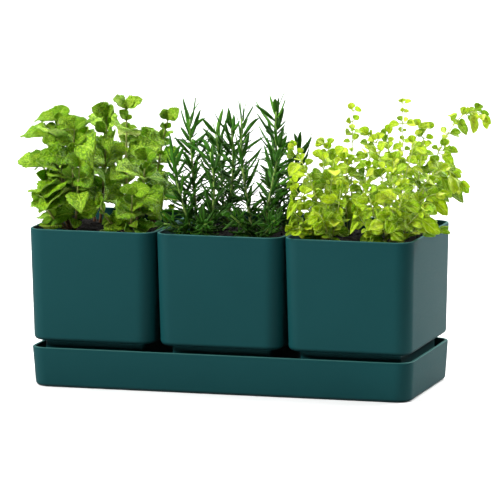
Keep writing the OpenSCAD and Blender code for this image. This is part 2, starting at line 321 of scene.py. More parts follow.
def repeated(template, count, name):
    """The template's mesh, count times over in one object."""
    obj = template.copy()
    obj.data = template.data.copy()
    obj.name = name
    obj.data.name = name
    bpy.context.scene.collection.objects.link(obj)
    only(obj)
    more = obj.modifiers.new("more", "ARRAY")
    more.count = count
    more.use_relative_offset = False
    more.use_constant_offset = True
    more.constant_offset_displace = (0, 0, 0)
    bpy.ops.object.modifier_apply(modifier=more.name)
    return obj


# Materials

def colour(r, g, b):
    """A colour given as it looks on screen, 0 to 255."""
    def lit(c):
        c = c / 255
        return c / 12.92 if c <= 0.04045 else ((c + 0.055) / 1.055) ** 2.4
    return (lit(r), lit(g), lit(b), 1)


class Finish:
    """A procedural material, built up node by node."""

    def __init__(self, name, roughness, specular):
        self.material = bpy.data.materials.new(name)
        self.material.use_nodes = True
        self.tree = self.material.node_tree
        self.shader = self.tree.nodes["Principled BSDF"]
        self.shader.inputs["Roughness"].default_value = roughness
        self.shader.inputs["Specular IOR Level"].default_value = specular

    def node(self, kind, **settings):
        made = self.tree.nodes.new(kind)
        for key, value in settings.items():
            setattr(made, key, value)
        return made

    def link(self, source, target):
        if isinstance(source, (int, float)):
            target.default_value = source
        elif isinstance(source, tuple):
            target.default_value = source
        else:
            self.tree.links.new(source, target)

    def maths(self, operation, a, b=0.0, c=0.0):
        made = self.node("ShaderNodeMath", operation=operation)
        for source, target in zip((a, b, c), made.inputs):
            self.link(source, target)
        return made.outputs[0]

    def place(self):
        return self.node("ShaderNodeTexCoord").outputs["Object"]

    def value(self, name):
        return self.node("ShaderNodeAttribute", attribute_name=name).outputs["Fac"]

    def upward(self):
        """How far the surface faces up, from -1 to 1."""
        parts = self.node("ShaderNodeSeparateXYZ")
        self.link(self.node("ShaderNodeNewGeometry").outputs["Normal"], parts.inputs[0])
        return parts.outputs[2]

    def across(self):
        """Shares along and across a leaf, from its own UV map: u from stalk to tip, v from 0 at the rib."""
        uv = self.node("ShaderNodeUVMap", uv_map="UVMap")
        parts = self.node("ShaderNodeSeparateXYZ")
        self.link(uv.outputs[0], parts.inputs[0])
        v = self.maths("ABSOLUTE", self.maths("MULTIPLY_ADD", parts.outputs[1], 2.0, -1.0))
        return parts.outputs[0], v

    def speckle(self, scale, detail=4.0, roughness=0.6):
        made = self.node("ShaderNodeTexNoise")
        self.link(self.place(), made.inputs["Vector"])
        made.inputs["Scale"].default_value = scale
        made.inputs["Detail"].default_value = detail
        made.inputs["Roughness"].default_value = roughness
        return made.outputs["Fac"]

    def cells(self, u, v, tone, count):
        """Puckers between a leaf's finest veins: 0 in their middles, higher towards the creases."""
        spot = self.node("ShaderNodeCombineXYZ")
        for value, target in zip((u, self.maths("MULTIPLY", v, 0.45), tone), spot.inputs):
            self.link(value, target)
        made = self.node("ShaderNodeTexVoronoi")
        self.link(spot.outputs[0], made.inputs["Vector"])
        made.inputs["Scale"].default_value = count
        return made.outputs["Distance"]

    def stretch(self, source, low, high, to_low=0.0, to_high=1.0):
        made = self.node("ShaderNodeMapRange", interpolation_type="SMOOTHSTEP")
        for value, target in zip((source, low, high, to_low, to_high), made.inputs):
            self.link(value, target)
        return made.outputs[0]

    def ramp(self, source, *stops):
        made = self.node("ShaderNodeValToRGB")
        row = made.color_ramp.elements
        while len(row) < len(stops):
            row.new(0.5)
        for element, (at, tint) in zip(row, stops):
            element.position = at
            element.color = tint
        self.link(source, made.inputs[0])
        return made.outputs[0]

    def mix(self, share, a, b):
        made = self.node("ShaderNodeMix", data_type="RGBA")
        for source, target in zip((share, a, b), (made.inputs[0], made.inputs[6], made.inputs[7])):
            self.link(source, target)
        return made.outputs[2]

    def bump(self, height, strength, depth):
        """Relief of that depth in millimetres."""
        made = self.node("ShaderNodeBump")
        made.inputs["Strength"].default_value = strength
        made.inputs["Distance"].default_value = depth * MM
        self.link(height, made.inputs["Height"])
        self.link(made.outputs[0], self.shader.inputs["Normal"])


def plastic_finish():
    """Dark teal moulded plastic with a fine matte grain, a painted highlight on surfaces that face up and
    painted shade on surfaces that face down.
    """
    f = Finish("teal_plastic", 0.6, 0.08)
    cloud = f.speckle(9, 3)
    body = f.mix(cloud, colour(4, 49, 51), colour(9, 55, 57))
    facing = f.upward()
    # Painted highlight: surfaces that face up, such as the rims' tops, are mixed towards a pale teal.
    lit = f.mix(f.stretch(facing, 0.35, 0.9, 0.0, 0.6), body, colour(62, 112, 106))
    # Painted shade: surfaces that face down, such as the pots' lower edges, are mixed towards a near-black
    # teal.
    with_painted_shade = f.mix(f.stretch(facing, -0.8, -0.1, 0.75, 0.0), lit, colour(0, 22, 24))
    f.link(with_painted_shade, f.shader.inputs["Base Color"])
    grain = f.speckle(1400, 2)
    f.link(f.stretch(grain, 0.3, 0.7, 0.54, 0.66), f.shader.inputs["Roughness"])
    f.bump(grain, 0.25, 0.05)
    return f.material


def soil_finish():
    """Damp dark potting soil with lighter fibres."""
    f = Finish("potting_soil", 0.95, 0.1)
    lumps = f.speckle(420, 6, 0.7)
    base = f.ramp(lumps, (0.25, colour(2, 1, 1)), (0.55, colour(8, 6, 4)), (0.8, colour(28, 21, 15)))
    pale = f.stretch(f.value("tone"), 0.6, 1.0, 0.0, 0.4)
    f.link(f.mix(pale, base, colour(52, 40, 30)), f.shader.inputs["Base Color"])
    f.bump(f.speckle(900, 5, 0.7), 0.8, 0.6)
    return f.material


def leaf_finish(name, greens, under, vein, vein_count, vein_slant, cells, crinkle, roughness, specular):
    """A leaf's upper and under side, with its ribs and puckers, and painted shade in its creases, along its
    edges and on leaves low on the plant. Greens run from dark to pale.
    """
    f = Finish(name, roughness, specular)
    tone = f.value("tone")
    patch = f.speckle(260, 3)
    # The tone attribute carries a random spread between leaves and painted shade that darkens leaves low on
    # the plant; a speckle adds small patches.
    tone_and_painted_shade = f.maths("ADD", tone, f.maths("MULTIPLY_ADD", patch, 0.5, -0.25))
    steps = len(greens) - 1
    green = f.ramp(tone_and_painted_shade, *[(k / steps, colour(*tint)) for k, tint in enumerate(greens)])
    u, v = f.across()
    rib = f.stretch(v, 0.02, 0.08, 1.0, 0.0)
    phase = f.maths("MULTIPLY_ADD", v, -vein_slant, f.maths("MULTIPLY", u, vein_count * math.pi))
    branch = f.stretch(f.maths("ABSOLUTE", f.maths("SINE", phase)), 0.02, 0.3, 0.6, 0.0)
    veins = f.maths("MAXIMUM", rib, branch)
    puckers = f.cells(u, v, tone, cells)
    # Painted shade: the creases between the puckers and a band along the leaf's edge are mixed towards the
    # darkest green.
    crease_shade = f.stretch(puckers, 0.3, 0.75, 0.0, crinkle)
    edge = f.stretch(v, 0.6, 1.0, 0.0, 0.6)
    green_with_painted_shade = f.mix(f.maths("MAXIMUM", crease_shade, edge), green, colour(*greens[0]))
    top = f.mix(f.maths("MULTIPLY", veins, 0.5), green_with_painted_shade, colour(*vein))
    below = f.maths("MULTIPLY", f.value("under"), 0.75)
    f.link(f.mix(below, top, colour(*under)), f.shader.inputs["Base Color"])
    height = f.maths("MULTIPLY_ADD", veins, -0.5, f.maths("MULTIPLY", puckers, -1.0))
    f.bump(height, 0.9, 1.2 * crinkle)
    f.shader.inputs["Subsurface Weight"].default_value = 0.25
    f.shader.inputs["Subsurface Radius"].default_value = (0.6, 1.0, 0.25)
    f.shader.inputs["Subsurface Scale"].default_value = 1.5 * MM
    return f.material


def stem_finish(name, low, high):
    """A stem that changes colour from the soil upwards."""
    f = Finish(name, 0.55, 0.3)
    tone = f.value("tone")
    streak = f.speckle(500, 3)
    share = f.maths("ADD", tone, f.maths("MULTIPLY_ADD", streak, 0.6, -0.3))
    f.link(f.mix(share, colour(*low), colour(*high)), f.shader.inputs["Base Color"])
    f.bump(streak, 0.4, 0.2)
    return f.material


def studio_finish(name, level):
    """A plain matt floor that glows more with distance, so that it stays white up to the horizon."""
    f = Finish(name, 0.9, 0.1)
    near_white = f.mix(f.speckle(3, 2), (level, level, level, 1), (level * 0.99,) * 3 + (1,))
    f.link(near_white, f.shader.inputs["Base Color"])
    f.shader.inputs["Emission Color"].default_value = (1, 1, 1, 1)
    away = f.node("ShaderNodeVectorMath", operation="LENGTH")
    f.link(f.place(), away.inputs[0])
    f.link(f.stretch(away.outputs["Value"], 1.0, 3.5, 0.1, 0.6), f.shader.inputs["Emission Strength"])
    return f.material


def painted(obj, *materials):
    obj.data.materials.clear()
    for material in materials:
        obj.data.materials.append(material)
    return obj


# Pots and tray

def drain_tool():
    """Pins at the drain holes' places."""
    pins = []
    spots = [(x, y) for x in (-1, 1) for y in (-1, 1)] + [(0, 0)]
    for x, y in spots:
        bpy.ops.object.select_all(action="DESELECT")
        bpy.ops.mesh.primitive_cylinder_add(
            vertices=32, radius=drain_d / 2 * MM, depth=3 * pot_floor * MM,
            location=(x * drain_gap_x / 2 * MM, y * drain_gap_y / 2 * MM, (foot_z + pot_floor / 2) * MM))
        pins.append(bpy.context.object)
    tool = joined("drain_tool", pins)
    bpy.ops.object.transform_apply(location=True, rotation=False, scale=False)
    return tool


def one_pot(name):
    """A tapered shell whose floor drops into a narrower foot with drain holes."""
    obj = vessel(name, pot_w, pot_d, shell_z, shell_h, pot_corner_r, pot_draft, pot_wall, pot_floor,
                 pot_base_round, rim_round)
    bpy.ops.object.mode_set(mode="EDIT")
    pick("faces", level_face(shell_z, -1))
    bpy.ops.mesh.inset(thickness=(foot_inset - pot_base_round) * MM)
    push(-foot_drop)
    pick("faces", level_face(shell_z + pot_floor, 1))
    bpy.ops.mesh.inset(thickness=recess_edge * MM)
    edge = pot_draft + pot_wall + floor_round + recess_edge
    recess = pot_draft + pot_wall + foot_inset
    resize((pot_w - 2 * recess) / (pot_w - 2 * edge), (pot_d - 2 * recess) / (pot_d - 2 * edge),
           shell_z + pot_floor)
    push(-foot_drop)
    bpy.ops.object.mode_set(mode="OBJECT")
    cut(obj, drain_tool())
    outward(obj)
    smooth(obj, 32)
    return obj


def one_tray(name):
    """A long low shell with two bars under each pot."""
    shell = vessel(name, row_w - 2 * tray_inset, pot_d - 2 * tray_inset, 0, tray_h, pot_corner_r,
                   tray_draft, tray_wall, tray_floor, tray_base_round, tray_rim_round)
    outward(shell)
    smooth(shell, 32)
    bars = []
    for place in PLACES.values():
        for side in (-1, 1):
            bar = block("bar", place * pitch + side * bar_gap / 2, 0, tray_floor / 2,
                        bar_t, bar_l, bar_h + tray_floor / 2)
            bpy.ops.object.mode_set(mode="EDIT")
            bpy.ops.mesh.select_all(action="SELECT")
            bpy.ops.mesh.bevel(offset=bar_round * MM, segments=2, affect="EDGES")
            bpy.ops.object.mode_set(mode="OBJECT")
            bars.append(bar)
    return joined(name, [shell, *bars])


# Soil

def crumbly(x, y, seed):
    """Height of the soil's surface above soil_z, in millimetres."""
    spot = Vector((x, y, seed * 40.0))
    lumps = noise.fractal(spot / 9, 0.8, 2.2, 4) * 1.6
    clods = max(noise.noise(spot / 5 + Vector((7, 3, seed))), 0) * 2.4
    return lumps + clods


def round_off(points, w, d, r):
    """Moves points inside a rectangle with round corners."""
    centre = np.array((w / 2 - r, d / 2 - r))
    out = np.maximum(abs(points[:, :2]) - centre, 0)
    share = np.minimum(r / np.maximum(np.hypot(out[:, 0], out[:, 1]), r), 1)[:, None]
    points[:, :2] = np.where(out > 0, np.sign(points[:, :2]) * (centre + out * share), points[:, :2])


def soil_surface(w, d, r, seed):
    """A crumbly skin with round corners."""
    bpy.ops.object.select_all(action="DESELECT")
    bpy.ops.mesh.primitive_grid_add(x_subdivisions=skin_columns, y_subdivisions=skin_rows, size=1)
    obj = bpy.context.object
    points = points_of(obj) * (w, d, 0)
    round_off(points, w, d, r)
    for point in points:
        edge = min(w / 2 - abs(point[0]), d / 2 - abs(point[1]))
        crown = soil_crown * min(edge / crown_ease, 1) - skin_sink
        relief = crumbly(point[0], point[1], seed) * min(edge / skin_ease + 0.2, 1)
        point[2] = soil_z + crown + relief
    set_points(obj, points * MM)
    only(obj)
    thick = obj.modifiers.new("thick", "SOLIDIFY")
    thick.thickness = skin_t * MM
    thick.offset = -1
    bpy.ops.object.modifier_apply(modifier=thick.name)
    points = points_of(obj) / MM
    round_off(points, w, d, r)
    set_points(obj, points * MM)
    set_value(obj, "tone", np.zeros(len(obj.data.vertices)))
    bpy.ops.object.shade_smooth()
    return obj


def turned(rng, count):
    """Random turns as rotation matrices."""
    turns, _ = np.linalg.qr(rng.normal(size=(count, 3, 3)))
    return turns * np.sign(np.linalg.det(turns))[:, None, None]


def crumbs(w, d, r, seed):
    """Loose crumbs of soil on the surface, most of them small."""
    bpy.ops.object.select_all(action="DESELECT")
    bpy.ops.mesh.primitive_ico_sphere_add(subdivisions=1, radius=1)
    template = bpy.context.object
    obj = repeated(template, crumb_count, "crumbs")
    shape = points_of(template)
    bpy.data.objects.remove(template)
    rng = np.random.default_rng(seed)
    w = w - 2 * crumb_gap
    d = d - 2 * crumb_gap
    places = rng.uniform(-0.5, 0.5, (crumb_count, 3)) * (w, d, 0)
    round_off(places, w, d, r - crumb_gap)
    places[:, 2] = [soil_z + soil_crown * 0.7 + crumbly(x, y, seed) for x, y, _ in places]
    size = crumb_r + crumb_more * rng.random(crumb_count) ** 3
    squeeze = rng.uniform(0.5, 1.0, (crumb_count, 1, 3))
    lumps = (shape[None] * squeeze * size[:, None, None]) @ turned(rng, crumb_count)
    set_points(obj, (lumps + places[:, None]).reshape(-1, 3) * MM)
    set_value(obj, "tone", np.repeat(rng.random(crumb_count), len(shape)))
    return obj


def one_soil(name, seed):
    """Soil that fills a pot and its foot."""
    gap = pot_wall + soil_fit
    r = pot_corner_r - gap
    low = shell_z + pot_floor + soil_fit
    body = tapered_block(name, pot_w - 2 * (gap + body_gap), pot_d - 2 * (gap + body_gap), low,
                         soil_z - body_drop - low, r, pot_draft)
    bpy.ops.object.mode_set(mode="EDIT")
    pick("faces", level_face(low, -1))
    bpy.ops.mesh.inset(thickness=(foot_inset + foot_gap) * MM)
    push(foot_z + pot_floor - low)
    bpy.ops.object.mode_set(mode="OBJECT")
    set_value(body, "tone", np.zeros(len(body.data.vertices)))
    w = pot_w - 2 * (gap + skin_gap)
    d = pot_d - 2 * (gap + skin_gap)
    return joined(name, [body, soil_surface(w, d, r, seed), crumbs(w, d, r, seed)])


# How shoots and leaves run, by the same rules as in the part's source

def unit(v):
    return v / np.linalg.norm(v, axis=-1, keepdims=True)


def sin_of(degrees):
    return math.sin(math.radians(degrees))


def cos_of(degrees):
    return math.cos(math.radians(degrees))


def wave(n):
    return (sin_of(n * 97) + sin_of(n * 211)) / 2


def along(s, t):
    return (1 - t) ** 2 * s[0] + 2 * t * (1 - t) * s[1] + t * t * s[2]


def heading(s, t):
    return unit((1 - t) * (s[1] - s[0]) + t * (s[2] - s[1]))


def below(v, top, soft=give):
    """Values ease off over the last stretch before a limit."""
    edge = top - soft
    return np.where(v <= edge, v, top - soft * np.exp(np.minimum(edge - v, 0) / soft))


def above(v, low, soft=give):
    return -below(-v, -low, soft)


def held(v, low, top, soft=give):
    return below(above(v, low, soft), top, soft)


def room(pot, side):
    return (
        plant_gap if side[0] > 0 else (-open_air if pot < 0 else plant_gap - pitch / 2),
        -plant_gap if side[0] < 0 else (open_air if pot > 0 else pitch / 2 - plant_gap),
        plant_gap if side[1] > 0 else -open_air,
        -plant_gap if side[1] < 0 else open_air)


def kept(p, r):
    return np.stack([held(p[..., 0], r[0], r[1]), held(p[..., 1], r[2], r[3]), p[..., 2]], -1)


def clear(p, r):
    """Leaves stay out of the neighbours' room, above the soil, and above the rim where they lean out."""
    q = kept(p, r)
    out = np.maximum(abs(q[..., 0]) - pot_w / 2, abs(q[..., 1]) - pot_d / 2)
    share = np.clip((out + rim_clear + 2) / rim_ease, 0, 1)
    low = soil_crown + plant_gap + (soil_drop - soil_crown) * share * share * (3 - 2 * share)
    return np.stack([q[..., 0], q[..., 1], above(q[..., 2], low)], -1)


def side_of(d):
    return unit(np.cross(d, (0.3, 1, 0)))


def leaf_heading(d, turn, opening):
    a = side_of(d)
    return cos_of(opening) * d + sin_of(opening) * (cos_of(turn) * a + sin_of(turn) * np.cross(d, a))


def face_of(d, h, front):
    """Leaves face along their stem, turned partly to the light in front."""
    v = d + front * toward_light
    return unit(v - np.dot(v, h) * h)


def plug_at(side):
    return np.array((side[0] * plug_gap_x / 2, side[1] * plug_gap_y / 2))


def shoot_curve(side, shoot, reach):
    elbow = np.array(shoot[0]) * reach / 100
    tip = np.array(shoot[1]) * reach / 100
    root = plug_at(side)
    start = root + unit(elbow[:2] - root) * plug_d / 4
    return np.array((start[0], start[1], soil_crown)), elbow, tip


# Leaves, needles and stems

def leaf_template(name, columns, rows, shape, thickness):
    """A leaf one long and one wide at the origin. The rule shape gives its half width and relief."""
    bpy.ops.object.select_all(action="DESELECT")
    bpy.ops.mesh.primitive_grid_add(x_subdivisions=columns, y_subdivisions=rows, size=1)
    obj = bpy.context.object
    obj.name = name
    points = points_of(obj)
    u = points[:, 0] + 0.5
    v = points[:, 1] * 2
    length, half, relief = shape(u, v)
    set_points(obj, np.stack([length, v * half, relief], 1))
    thick = obj.modifiers.new("thick", "SOLIDIFY")
    thick.thickness = thickness
    thick.offset = -1
    only(obj)
    bpy.ops.object.modifier_apply(modifier=thick.name)
    bpy.ops.object.shade_smooth()
    return obj


def ovate(b, peak, fullness):
    """Half width of an egg-shaped blade at share b of its length."""
    lift = math.log(0.5) / math.log(peak)
    return 0.5 * np.sin(np.pi * np.clip(b, 0, 1) ** lift).clip(0, 1) ** fullness


def mint_shape(u, v):
    """A toothed, blistered blade on a short stalk."""
    b = np.clip((u - 0.1) / 0.9, 0, 1)
    tooth = (np.round(b * 3 * mint_teeth) % 3) / 2 - 0.5
    half = ovate(b, 0.4, 0.6) * (1 + 0.13 * tooth * (b > 0.12)) * (1 - 0.3 * b ** 7)
    half = np.maximum(half, 0.035)
    phase = b * 8 - abs(v) * 2.2
    blister = abs(np.sin(np.pi * phase)) * 0.06 * (1 - v ** 4) * np.sin(np.pi * b)
    fold = 0.16 * abs(v) * half * 2
    ripple = 0.035 * np.sin(b * 17 + np.sign(v)) * abs(v) ** 2
    return u, half, blister + fold + ripple


def small_shape(u, v):
    """A plain rounded blade, for young and small leaves."""
    b = np.clip((u - 0.12) / 0.88, 0, 1)
    half = np.maximum(ovate(b, 0.42, 0.75), 0.05)
    return u, half, 0.2 * abs(v) * half * 2


def oregano_shape(u, v):
    """A small round blade on a thin stalk."""
    b = np.clip((u - 0.28) / 0.72, 0, 1)
    half = np.maximum(ovate(b, 0.46, 0.5), 0.045)
    return u, half, 0.22 * abs(v) * half * 2


def needle_shape(u, v):
    """A narrow blade with its edges rolled under."""
    half = np.maximum(ovate(u, 0.4, 0.5), 0.1)
    return u, half, -0.45 * abs(v) * half


def laid_out(shape, base, head, face, length, width, droop, twist, r):
    """Template points set along each leaf's own bend, as rows of leaves by points."""
    u, y, z = (shape[None, :, k, None] for k in range(3))
    length, width, droop, twist = (np.asarray(v)[:, None, None] for v in (length, width, droop, twist))
    base, head, face = (np.asarray(v)[:, None, :] for v in (base, head, face))
    up = np.array((0, 0, 1.0))
    roll = twist * (0.35 + 0.65 * u)
    flat = np.cross(head, face)
    side = np.cos(roll) * flat + np.sin(roll) * face
    run = head - up * 2 * droop * u
    lift = unit(np.cross(side, run))
    points = base + head * length * u - up * droop * length * u * u + side * width * y + lift * width * z
    return np.where(u < 0.04, points, clear(points, r))


def leaves(template, listed, r, name):
    """All the listed leaves as one object, each given as leaf_at returns it."""
    obj = repeated(template, len(listed), name)
    shape = points_of(template)
    *frames, tone = zip(*listed)
    points = laid_out(shape, *[np.array(part, float) for part in frames], r)
    set_points(obj, points.reshape(-1, 3))
    count = len(shape)
    # The tone carries each leaf's random spread and its painted shade.
    set_value(obj, "tone", np.repeat(tone, count))
    set_value(obj, "under", np.tile(np.arange(count) >= count // 2, len(listed)))
    return obj


def tube_template():
    """A round tube one long, in rings."""
    bpy.ops.object.select_all(action="DESELECT")
    bpy.ops.mesh.primitive_cylinder_add(vertices=8, radius=1, depth=1)
    obj = bpy.context.object
    obj.name = "tube"
    bpy.ops.object.mode_set(mode="EDIT")
    pick("edges", lambda edge: abs(edge.verts[0].co.z - edge.verts[1].co.z) > 0.5)
    bpy.ops.mesh.subdivide(number_cuts=13)
    bpy.ops.object.mode_set(mode="OBJECT")
    bpy.ops.object.shade_smooth()
    return obj


def stems(template, curves, diameter, r, name):
    """A thinning stem on each curve."""
    obj = repeated(template, len(curves), name)
    shape = points_of(template)
    t = (shape[:, 2] + 0.5)[:, None]
    rows = []
    for s in curves:
        centre = kept(along(s, t), r)
        d = heading(s, t)
        a = side_of(d)
        around = shape[:, :1] * a + shape[:, 1:2] * np.cross(d, a)
        rows.append(centre + around * diameter / 2 * (1 - stem_taper * t))
    set_points(obj, np.concatenate(rows))
    set_value(obj, "tone", np.tile(t[:, 0], len(curves)))
    return obj


def root_plug(side, name):
    """A round plug of roots with a raised middle."""
    x, y = plug_at(side)
    bpy.ops.object.select_all(action="DESELECT")
    bpy.ops.mesh.primitive_cylinder_add(
        vertices=24, radius=plug_d / 2, depth=plug_h, location=(x, y, soil_crown - plug_h / 2))
    obj = bpy.context.object
    obj.name = name
    bpy.ops.object.transform_apply(location=True, rotation=False, scale=False)
    bpy.ops.object.mode_set(mode="EDIT")
    pick("faces", lambda face: face.normal.z > 0.9)
    bpy.ops.mesh.inset(thickness=plug_shoulder)
    bpy.ops.transform.translate(value=(0, 0, plug_crown))
    bpy.ops.object.mode_set(mode="OBJECT")
    set_value(obj, "tone", np.zeros(len(obj.data.vertices)))
    return obj


def planted(name, parts, pot):
    """Joins a plant's parts, made about the middle of its pot's soil, and puts them in the row."""
    obj = joined(name, parts)
    points = points_of(obj) + (pot * pitch, 0, soil_z)
    limits = [(cad_low[k] / MM, cad_high[k] / MM) for k in range(3)]
    points = np.stack([held(points[:, k], *limits[k], box_give) for k in range(3)], 1)
    set_points(obj, points * MM)
    return obj


def leaf_at(s, r, t, turn, opening, front, length, width, droop, twist, tone):
    """A leaf as (base, heading, face, length, width, droop, twist, tone)."""
    d = heading(s, t)
    h = leaf_heading(d, turn, opening)
    return kept(along(s, t), r), h, face_of(d, h, front), length, width, droop, twist, tone


def pair_leaves(side, shoot, herb, r):
    """A shoot's leaves in opposite pairs, as in the part's source."""
    s = shoot_curve(side, shoot, herb["reach"])
    pairs = shoot[4]
    made = []
    for k in range(pairs):
        t = herb["first"] + (1 - herb["first"]) * k / (pairs - 1)
        top = t > 0.95
        size = shoot[2] * (0.6 if top else 0.7 + 0.3 * t)
        for way in (0, 1):
            n = shoot[3] + 2 * k + way
            turn = shoot[3] + 90 * k + 180 * way + turn_stray * wave(n)
            opening = herb["open"] * (0.5 if top else 1) + open_stray * wave(n + 3)
            length = herb["leaf_l"] * size * (1 + length_stray * wave(n + 7))
            width = herb["leaf_w"] * length / herb["leaf_l"]
            # Tone: a random spread, plus painted shade that makes leaves lower on the plant darker and
            # higher ones lighter.
            tone = 0.42 + 0.45 * wave(n + 11) + 0.35 * (t * s[2][2] / herb["reach"] - 0.3)
            droop = herb["droop"] * (1 + droop_stray * wave(n + 17))
            made.append(leaf_at(s, r, t, turn, opening, herb["front"], length, width, droop,
                                0.4 * wave(n + 13), tone))
    return made


def young_leaves(side, shoot, herb, r):
    """Small leaves in the angles between the large ones and the stem, and at the tip."""
    s = shoot_curve(side, shoot, herb["reach"])
    made = []
    count = herb["young"] * shoot[4]
    for k in range(count):
        share = k / (count - 1)
        t = herb["first"] * 0.8 + (1 - herb["first"] * 0.8) * share
        for way in (0, 1):
            n = shoot[3] * 3 + 2 * k + way
            turn = shoot[3] + 90 * k + 45 + 180 * way + 40 * wave(n)
            opening = 60 - 26 * share + 30 * wave(n + 3)
            length = herb["leaf_l"] * herb["young_size"] * shoot[2] * (1 + 0.35 * wave(n + 7))
            width = herb["leaf_w"] / herb["leaf_l"] * length
            # Tone: a random spread, plus painted shade that makes leaves lower on the plant darker and
            # higher ones lighter.
            tone = 0.42 + 0.4 * wave(n + 5) + 0.35 * (t * s[2][2] / herb["reach"] - 0.3)
            made.append(leaf_at(s, r, t, turn, opening, herb["front"], length, width, 0.25,
                                0.5 * wave(n), tone))
    return made


def needles(side, shoot, herb, r):
    """Needles winding up the shoot by the golden angle."""
    s = shoot_curve(side, shoot, herb["reach"])
    count = herb["per_round"] * shoot[4]
    made = []
    for k in range(count):
        t = 0.12 + 0.88 * k / (count - 1)
        n = shoot[3] + k
        opening = 54 - 30 * t * t + 26 * wave(n)
        length = herb["leaf_l"] * shoot[2] * (0.92 + 0.3 * wave(n + 5)) * (1 - 0.2 * t ** 6)
        width = herb["leaf_w"] * (0.85 + 0.25 * wave(n + 9)) * (0.28 if k % 11 == 5 else 1)
        # Tone: a random spread, plus painted shade that makes needles lower on the plant darker and higher
        # ones lighter.
        tone = 0.35 + 0.45 * wave(n * 3 + 2) + 0.7 * (t * s[2][2] / herb["reach"] - 0.3)
        made.append(leaf_at(s, r, t, shoot[3] + golden_turn * k, opening, 0.7, length, width,
                            0.1 + 0.35 * wave(n + 2), 0.8 * wave(n + 4), tone))
    return made


def young_needles(side, shoot, herb, r):
    """Short dark needles in the angles of the long ones, thickest low on the shoot."""
    s = shoot_curve(side, shoot, herb["reach"])
    count = 7 * shoot[4]
    made = []
    for k in range(count):
        t = 0.04 + 0.8 * (k / (count - 1)) ** 1.6
        n = shoot[3] * 2 + k
        opening = 66 + 30 * wave(n)
        length = herb["leaf_l"] * herb["young_size"] * (1 + 0.35 * wave(n + 5))
        # Tone: a random spread, plus painted shade that makes needles lower on the shoot darker.
        tone = 0.1 + 0.4 * wave(n * 3 + 2) + 0.4 * (t - 0.3)
        made.append(leaf_at(s, r, t, shoot[3] + 111 * k, opening, 0.5, length, herb["leaf_w"] * 0.45,
                            0.3 * wave(n + 2), 0.8 * wave(n + 4), tone))
    return made


# A shoot is its bend and its tip, in hundredths of the herb's reach from the middle of the pot's soil, then
# the size of its leaves, its first turn in degrees, and its pairs or rounds of leaves.
MINT_SHOOTS = {
    "front_left": [
        [(-32, -18, 42), (-36, -10, 77), 1, 20, 5],
        [(-20, -30, 42), (-19, -27, 74), 1, 65, 5],
        [(-36, -28, 18), (-42, -24, 46), 0.9, 10, 3],
        [(-15, -36, 22), (-12, -38, 50), 0.9, 40, 3],
        [(-34, -20, 58), (-42, -16, 67), 1.2, 86, 2],
        [(-36, -24, 38), (-44, -20, 47), 1.2, 94, 2],
        [(-32, -40, 14), (-36, -44, 26), 0.75, 75, 2]],
    "front_right": [
        [(14, -18, 40), (12, -6, 86), 0.85, 30, 5],
        [(26, -22, 24), (30, -20, 54), 0.95, 70, 4],
        [(24, -36, 12), (26, -40, 32), 0.85, 20, 3],
        [(6, -36, 14), (3, -42, 24), 0.75, 50, 2]],
    "back_left": [
        [(-12, 20, 42), (-8, 11, 78), 1, 50, 5],
        [(-26, 30, 30), (-30, 28, 60), 0.9, 15, 4]],
    "back_right": [
        [(22, 22, 38), (33, 20, 76), 0.7, 25, 5],
        [(18, 28, 32), (14, 30, 60), 0.9, 60, 4],
        [(32, 16, 14), (37, 11, 16), 0.4, 35, 2]]}

ROSEMARY_SHOOTS = {
    "front_left": [
        [(-27, -20, 46), (-32, -10, 80), 1, 10, 13],
        [(-32, -30, 22), (-38, -30, 58), 1, 40, 9],
        [(-4, -32, 26), (-14, -22, 60), 1, 70, 10],
        [(-14, -42, 14), (-8, -50, 16), 0.7, 50, 5],
        [(-28, -40, 12), (-38, -50, 15), 0.7, 30, 5]],
    "front_right": [
        [(6, -18, 46), (2, -8, 82), 1, 25, 13],
        [(28, -22, 36), (33, -18, 64), 1, 60, 10],
        [(14, -36, 13), (8, -48, 22), 0.7, 15, 5],
        [(32, -38, 13), (38, -46, 20), 0.7, 45, 5]],
    "back_left": [
        [(-20, 28, 36), (-24, 24, 66), 1, 5, 10],
        [(-8, 20, 40), (-10, 14, 72), 1, 35, 11]],
    "back_right": [
        [(20, 18, 48), (22, 12, 84), 1, 55, 13],
        [(30, 28, 32), (34, 26, 58), 1, 20, 9]]}

